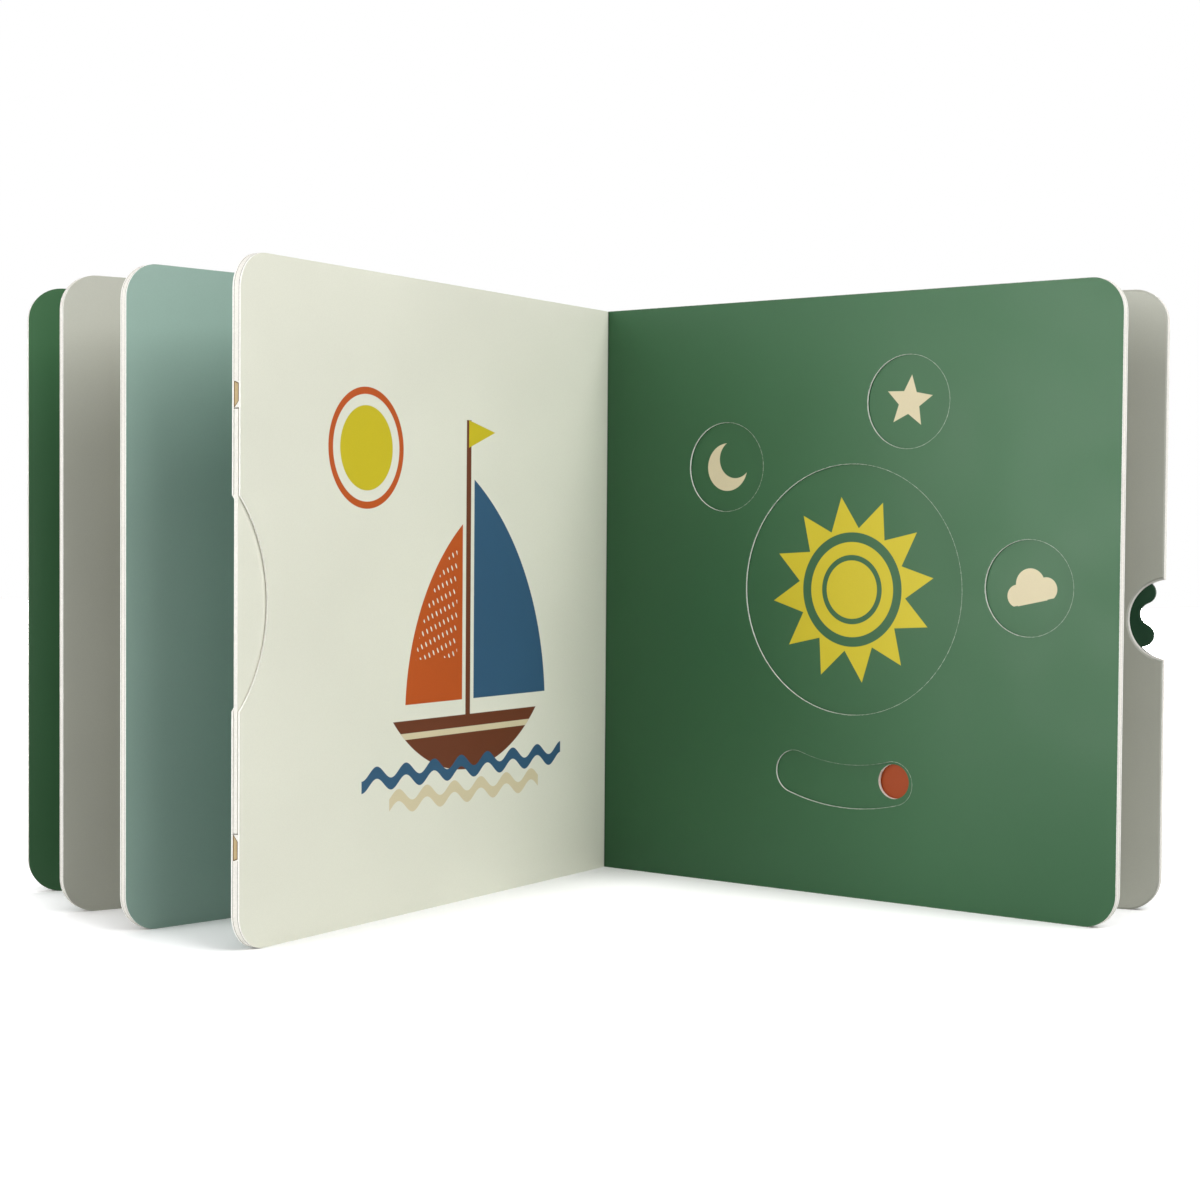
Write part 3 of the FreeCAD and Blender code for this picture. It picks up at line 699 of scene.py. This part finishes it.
for leaf, node in (("a", "front_board"), ("b", "leaf_b_board"), ("c", "leaf_c_board"),
                   ("d", "leaf_d_board"), ("e", "leaf_e_board"), ("f", "back_board")):
    dress(node, cut_board("cut_board_" + leaf, leaf, CARD_WHITE, spine=DARK_GREEN))
for node, middle, facing in (("guide_low", GUIDE_LOW, 1.0), ("guide_high", GUIDE_HIGH, -1.0)):
    dress(node, guide_card(node + "_card", middle, facing))
dress("spine_strip", cut_board("spine_strip_paper", "c", DARK_GREEN, ply=0.0))
print("dressed:", len(NODES))

# %% [markdown]
# The finger wheel in the back cover has a wavy rim: round lobes and round hollows in turn, each arc
# touching the next. Geometry Nodes builds it from one rule. Every point of a circle is moved onto
# the lobe or the hollow that its number falls in, and the face is then given its thickness.

# %% The scalloped wheel
WHEEL_OUT = 112.5
WHEEL_UP = 98.0
WHEEL = {
    "Radius": 82.8 * MM, "Hollow Depth": 5.1 * MM, "Arc Radius": 3.64 * MM, "Thickness": INSERT_THICK * MM,
    "Lobes": 36, "Points Per Arc": 12, "Phase": math.radians(3.4), "Lobe Sweep": math.radians(75.8),
    "Hollow Sweep": math.radians(70.8)}


def field(tree, operation, *items):
    """One Math node of a geometry tree; items are sockets or numbers."""
    node = tree.nodes.new("ShaderNodeMath")
    node.operation = operation
    for index, item in enumerate(items):
        if isinstance(item, bpy.types.NodeSocket):
            tree.links.new(item, node.inputs[index])
        else:
            node.inputs[index].default_value = item
    return node.outputs[0]


def scalloped_wheel_tree(material):
    tree = bpy.data.node_groups.new("scalloped_wheel", "GeometryNodeTree")
    identifiers = {}
    for label, value in WHEEL.items():
        kind = "NodeSocketInt" if isinstance(value, int) else "NodeSocketFloat"
        identifiers[label] = tree.interface.new_socket(label, in_out="INPUT", socket_type=kind).identifier
    tree.interface.new_socket("Geometry", in_out="OUTPUT", socket_type="NodeSocketGeometry")
    size = tree.nodes.new("NodeGroupInput").outputs
    count = field(tree, "MULTIPLY", size["Points Per Arc"], 2.0)
    circle = tree.nodes.new("GeometryNodeMeshCircle")
    circle.fill_type = "NGON"
    tree.links.new(field(tree, "MULTIPLY", count, size["Lobes"]), circle.inputs["Vertices"])
    # Which lobe a point belongs to, and how far along its lobe or its hollow it lies
    index = tree.nodes.new("GeometryNodeInputIndex").outputs[0]
    within = field(tree, "MODULO", index, count)
    number = field(tree, "FLOOR", field(tree, "DIVIDE", index, count))
    in_hollow = field(tree, "GREATER_THAN", within, field(tree, "SUBTRACT", size["Points Per Arc"], 0.5))
    along = field(tree, "SUBTRACT", within, field(tree, "MULTIPLY", in_hollow, size["Points Per Arc"]))
    along = field(tree, "DIVIDE", field(tree, "ADD", along, 0.5), size["Points Per Arc"])
    in_lobe = field(tree, "SUBTRACT", 1.0, in_hollow)
    sweep = field(tree, "ADD", field(tree, "MULTIPLY", size["Lobe Sweep"], in_lobe),
                  field(tree, "MULTIPLY", size["Hollow Sweep"], in_hollow))
    bend = field(tree, "MULTIPLY", field(tree, "SUBTRACT", field(tree, "MULTIPLY", along, 2.0), 1.0), sweep)
    # A lobe bulges outwards from its ring, a hollow bulges inwards from its own
    outwards = field(tree, "SUBTRACT", 1.0, field(tree, "MULTIPLY", in_hollow, 2.0))
    lobe_ring = field(tree, "SUBTRACT", size["Radius"], size["Arc Radius"])
    hollow_floor = field(tree, "SUBTRACT", size["Radius"], size["Hollow Depth"])
    hollow_ring = field(tree, "ADD", hollow_floor, size["Arc Radius"])
    ring = field(tree, "ADD", field(tree, "MULTIPLY", lobe_ring, in_lobe),
                 field(tree, "MULTIPLY", hollow_ring, in_hollow))
    reach = field(tree, "MULTIPLY", size["Arc Radius"], field(tree, "COSINE", bend))
    x = field(tree, "ADD", ring, field(tree, "MULTIPLY", reach, outwards))
    y = field(tree, "MULTIPLY", size["Arc Radius"], field(tree, "SINE", bend))
    step = field(tree, "DIVIDE", 2 * math.pi, size["Lobes"])
    turn = field(tree, "MULTIPLY", step, field(tree, "ADD", number, field(tree, "MULTIPLY", in_hollow, 0.5)))
    turn = field(tree, "ADD", turn, size["Phase"])
    cosine, sine = field(tree, "COSINE", turn), field(tree, "SINE", turn)
    place = tree.nodes.new("ShaderNodeCombineXYZ")
    across = field(tree, "SUBTRACT", field(tree, "MULTIPLY", x, cosine), field(tree, "MULTIPLY", y, sine))
    upwards = field(tree, "ADD", field(tree, "MULTIPLY", x, sine), field(tree, "MULTIPLY", y, cosine))
    tree.links.new(across, place.inputs["X"])
    tree.links.new(upwards, place.inputs["Y"])
    move = tree.nodes.new("GeometryNodeSetPosition")
    tree.links.new(circle.outputs["Mesh"], move.inputs["Geometry"])
    tree.links.new(place.outputs[0], move.inputs["Position"])
    # The raised copy of the face is joined to a turned-over one, which closes the body
    raised = tree.nodes.new("GeometryNodeExtrudeMesh")
    raised.inputs["Individual"].default_value = False
    tree.links.new(move.outputs[0], raised.inputs["Mesh"])
    tree.links.new(size["Thickness"], raised.inputs["Offset Scale"])
    under = tree.nodes.new("GeometryNodeFlipFaces")
    tree.links.new(move.outputs[0], under.inputs[0])
    whole = tree.nodes.new("GeometryNodeJoinGeometry")
    tree.links.new(raised.outputs["Mesh"], whole.inputs[0])
    tree.links.new(under.outputs[0], whole.inputs[0])
    weld = tree.nodes.new("GeometryNodeMergeByDistance")
    weld.inputs["Distance"].default_value = 0.00001
    tree.links.new(whole.outputs[0], weld.inputs[0])
    real = tree.nodes.new("GeometryNodeRealizeInstances")
    tree.links.new(weld.outputs[0], real.inputs[0])
    finish = tree.nodes.new("GeometryNodeSetMaterial")
    finish.inputs["Material"].default_value = material
    tree.links.new(real.outputs[0], finish.inputs["Geometry"])
    tree.links.new(finish.outputs[0], tree.nodes.new("NodeGroupOutput").inputs[0])
    return tree, identifiers


def leaf_matrix(leaf, out, depth, up):
    """From a piece drawn flat, x out from the fold and y up, to its place in a leaf."""
    along, through = out_from_fold(leaf), through_leaf(leaf)
    turn = Matrix(((along.x, 0.0, -through.x), (along.y, 0.0, -through.y), (0.0, 1.0, 0.0))).to_4x4()
    return Matrix.Translation(page_point(leaf, out, depth, up)) @ turn


wheel_print = printed_sheet(
    "rim_wheel_print", [("f", INSERT_FACE, DEEP_GREEN), ("f", INSERT_FACE + INSERT_THICK, DEEP_GREEN)],
    rub=0.0, paper=linear(38, 62, 46))
wheel_tree, wheel_inputs = scalloped_wheel_tree(wheel_print)
source = bpy.data.objects.new("wheel_source", bpy.data.meshes.new("wheel_source"))
bpy.context.scene.collection.objects.link(source)
modifier = source.modifiers.new("wheel", "NODES")
modifier.node_group = wheel_tree
for label, value in WHEEL.items():
    modifier[wheel_inputs[label]] = value
graph = bpy.context.evaluated_depsgraph_get()
wheel_mesh = bpy.data.meshes.new_from_object(source.evaluated_get(graph))
bpy.data.objects.remove(source)
wheel_mesh.transform(leaf_matrix("f", WHEEL_OUT, INSERT_FACE + INSERT_THICK, WHEEL_UP))
wheel = bpy.data.objects.new("finger_wheel", wheel_mesh)
bpy.context.scene.collection.objects.link(wheel)
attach(wheel, "rim")
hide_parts("rim_wheel")

# %% [markdown]
# The studio is a pale floor that runs back into white, with six broad lamps: two strong ones on
# the left and above on the right, and four weak ones that fill. The camera stands low in front
# of the open fold.

# %% Floor, backdrop and lamps
FLOOR_GLOW = 0.5
GLOW_START = 0.145
GLOW_SLOPE = 6.0
# The next four sizes set painted light on the floor left of the book and painted shade where the leaves
# stand on it.
LEFT_PAINTED_LIGHT_START = 0.11
LEFT_PAINTED_LIGHT_SLOPE = 4.0
PAINTED_SHADE_REACH = 0.035
PAINTED_SHADE_STRENGTH = 1.7


def background_rays(tree):
    """1 for the rays that see the ground and the backdrop as white, and 0 for those that light the book."""
    path = tree.nodes.new("ShaderNodeLightPath")
    keys = ("Is Camera Ray", "Is Glossy Ray", "Is Transmission Ray")
    seen, glossy, clear = (Value(tree, path.outputs[key]) for key in keys)
    return seen.run("MAXIMUM", glossy).run("MAXIMUM", clear)


def white_ground():
    """White to the camera and able to take the lamps' shadows, with painted light raised on the book's left
    and painted shade where the leaves stand.
    """
    material, tree, shader = new_material("studio_white")
    tree.nodes.remove(shader)
    diffuse = tree.nodes.new("ShaderNodeBsdfDiffuse")
    diffuse.inputs["Color"].default_value = (0.9, 0.9, 0.9, 1.0)
    glow = tree.nodes.new("ShaderNodeEmission")
    split = tree.nodes.new("ShaderNodeSeparateXYZ")
    tree.links.new(tree.nodes.new("ShaderNodeTexCoord").outputs["Object"], split.inputs[0])
    x, y = Value(tree, split.outputs[0]), Value(tree, split.outputs[1])
    # The glow grows away from the book. On its left it is raised as painted light over the shadow the leaves
    # cast there, where they keep a lamp off the floor
    outwards = ((length(x, y) - GLOW_START) * GLOW_SLOPE).run("MAXIMUM", 0.0)
    left_painted_light = ((x * -1.0 - LEFT_PAINTED_LIGHT_START) * LEFT_PAINTED_LIGHT_SLOPE).run("MAXIMUM", 0.0)
    strength = background_rays(tree) * (outwards + left_painted_light + FLOOR_GLOW)
    # Painted shade: the glow fades where the leaves stand on the floor, which darkens a soft band there
    painted_shade_ao = tree.nodes.new("ShaderNodeAmbientOcclusion")
    painted_shade_ao.samples = 3
    painted_shade_ao.inputs["Distance"].default_value = PAINTED_SHADE_REACH
    painted_shade_factor = Value(tree, painted_shade_ao.outputs["AO"]) * PAINTED_SHADE_STRENGTH
    strength = strength * painted_shade_factor.run("SUBTRACT", PAINTED_SHADE_STRENGTH - 1.0, clamp=True)
    tree.links.new(strength.socket, glow.inputs["Strength"])
    both = tree.nodes.new("ShaderNodeAddShader")
    tree.links.new(diffuse.outputs[0], both.inputs[0])
    tree.links.new(glow.outputs[0], both.inputs[1])
    tree.links.new(both.outputs[0], tree.nodes["Material Output"].inputs["Surface"])
    return material


bpy.ops.mesh.primitive_plane_add(size=6.0, location=(0.0, 0.0, 0.0))
floor = bpy.context.object
floor.name = "studio_floor"
floor.data.materials.append(white_ground())

world = bpy.data.worlds.new("studio_world")
bpy.context.scene.world = world
world.use_nodes = True
sky = world.node_tree
background = sky.nodes["Background"]
AMBIENT = 0.04
level = background_rays(sky) * (1.0 - AMBIENT) + AMBIENT
sky.links.new(level.socket, background.inputs["Strength"])
background.inputs["Color"].default_value = (1.0, 1.0, 1.0, 1.0)


def soft_lamp(name, place, size, power, target=(0.0, 0.0, 0.1)):
    data = bpy.data.lights.new(name, "AREA")
    data.shape = "RECTANGLE"
    data.size, data.size_y = size
    data.energy = power
    lamp = bpy.data.objects.new(name, data)
    bpy.context.scene.collection.objects.link(lamp)
    lamp.location = place
    lamp.rotation_mode = "QUATERNION"
    lamp.rotation_quaternion = (Vector(target) - Vector(place)).to_track_quat("-Z", "Y")
    return lamp


soft_lamp("lamp_left", (-1.3, -1.1, 0.7), (1.0, 1.2), 19.0)
soft_lamp("lamp_low_left", (-1.5, -0.9, 0.3), (1.2, 0.5), 1.8)
soft_lamp("lamp_above_right", (0.9, -0.7, 1.2), (1.0, 1.0), 17.0)
soft_lamp("lamp_right", (1.4, -0.7, 0.9), (1.0, 1.6), 4.2)
soft_lamp("lamp_front", (0.0, -1.5, 1.1), (1.2, 0.8), 2.5)
soft_lamp("lamp_back", (0.2, 1.4, 1.1), (1.2, 0.8), 5.0)
print("studio ready")

# %% Camera
CAMERA_LENS = 65.91
CAMERA_FROM_FOLD = Vector((-2.26, -790.9))
CAMERA_HEIGHT = 120.4
CAMERA_PITCH = math.radians(1.735)
CAMERA_ROLL = math.radians(0.428)
camera_data = bpy.data.cameras.new("studio_camera")
camera_data.lens = CAMERA_LENS
camera_data.sensor_width = 36.0
camera = bpy.data.objects.new("studio_camera", camera_data)
bpy.context.scene.collection.objects.link(camera)
stand = (FOLDS["e"] + CAMERA_FROM_FOLD) * MM
turn = Matrix.Rotation(math.pi / 2 - CAMERA_PITCH, 4, "X") @ Matrix.Rotation(CAMERA_ROLL, 4, "Z")
camera.matrix_world = Matrix.Translation((stand.x, stand.y, CAMERA_HEIGHT * MM)) @ turn
bpy.context.scene.camera = camera
print("camera at", tuple(camera.location))

bpy.context.scene.view_settings.view_transform = "Standard"
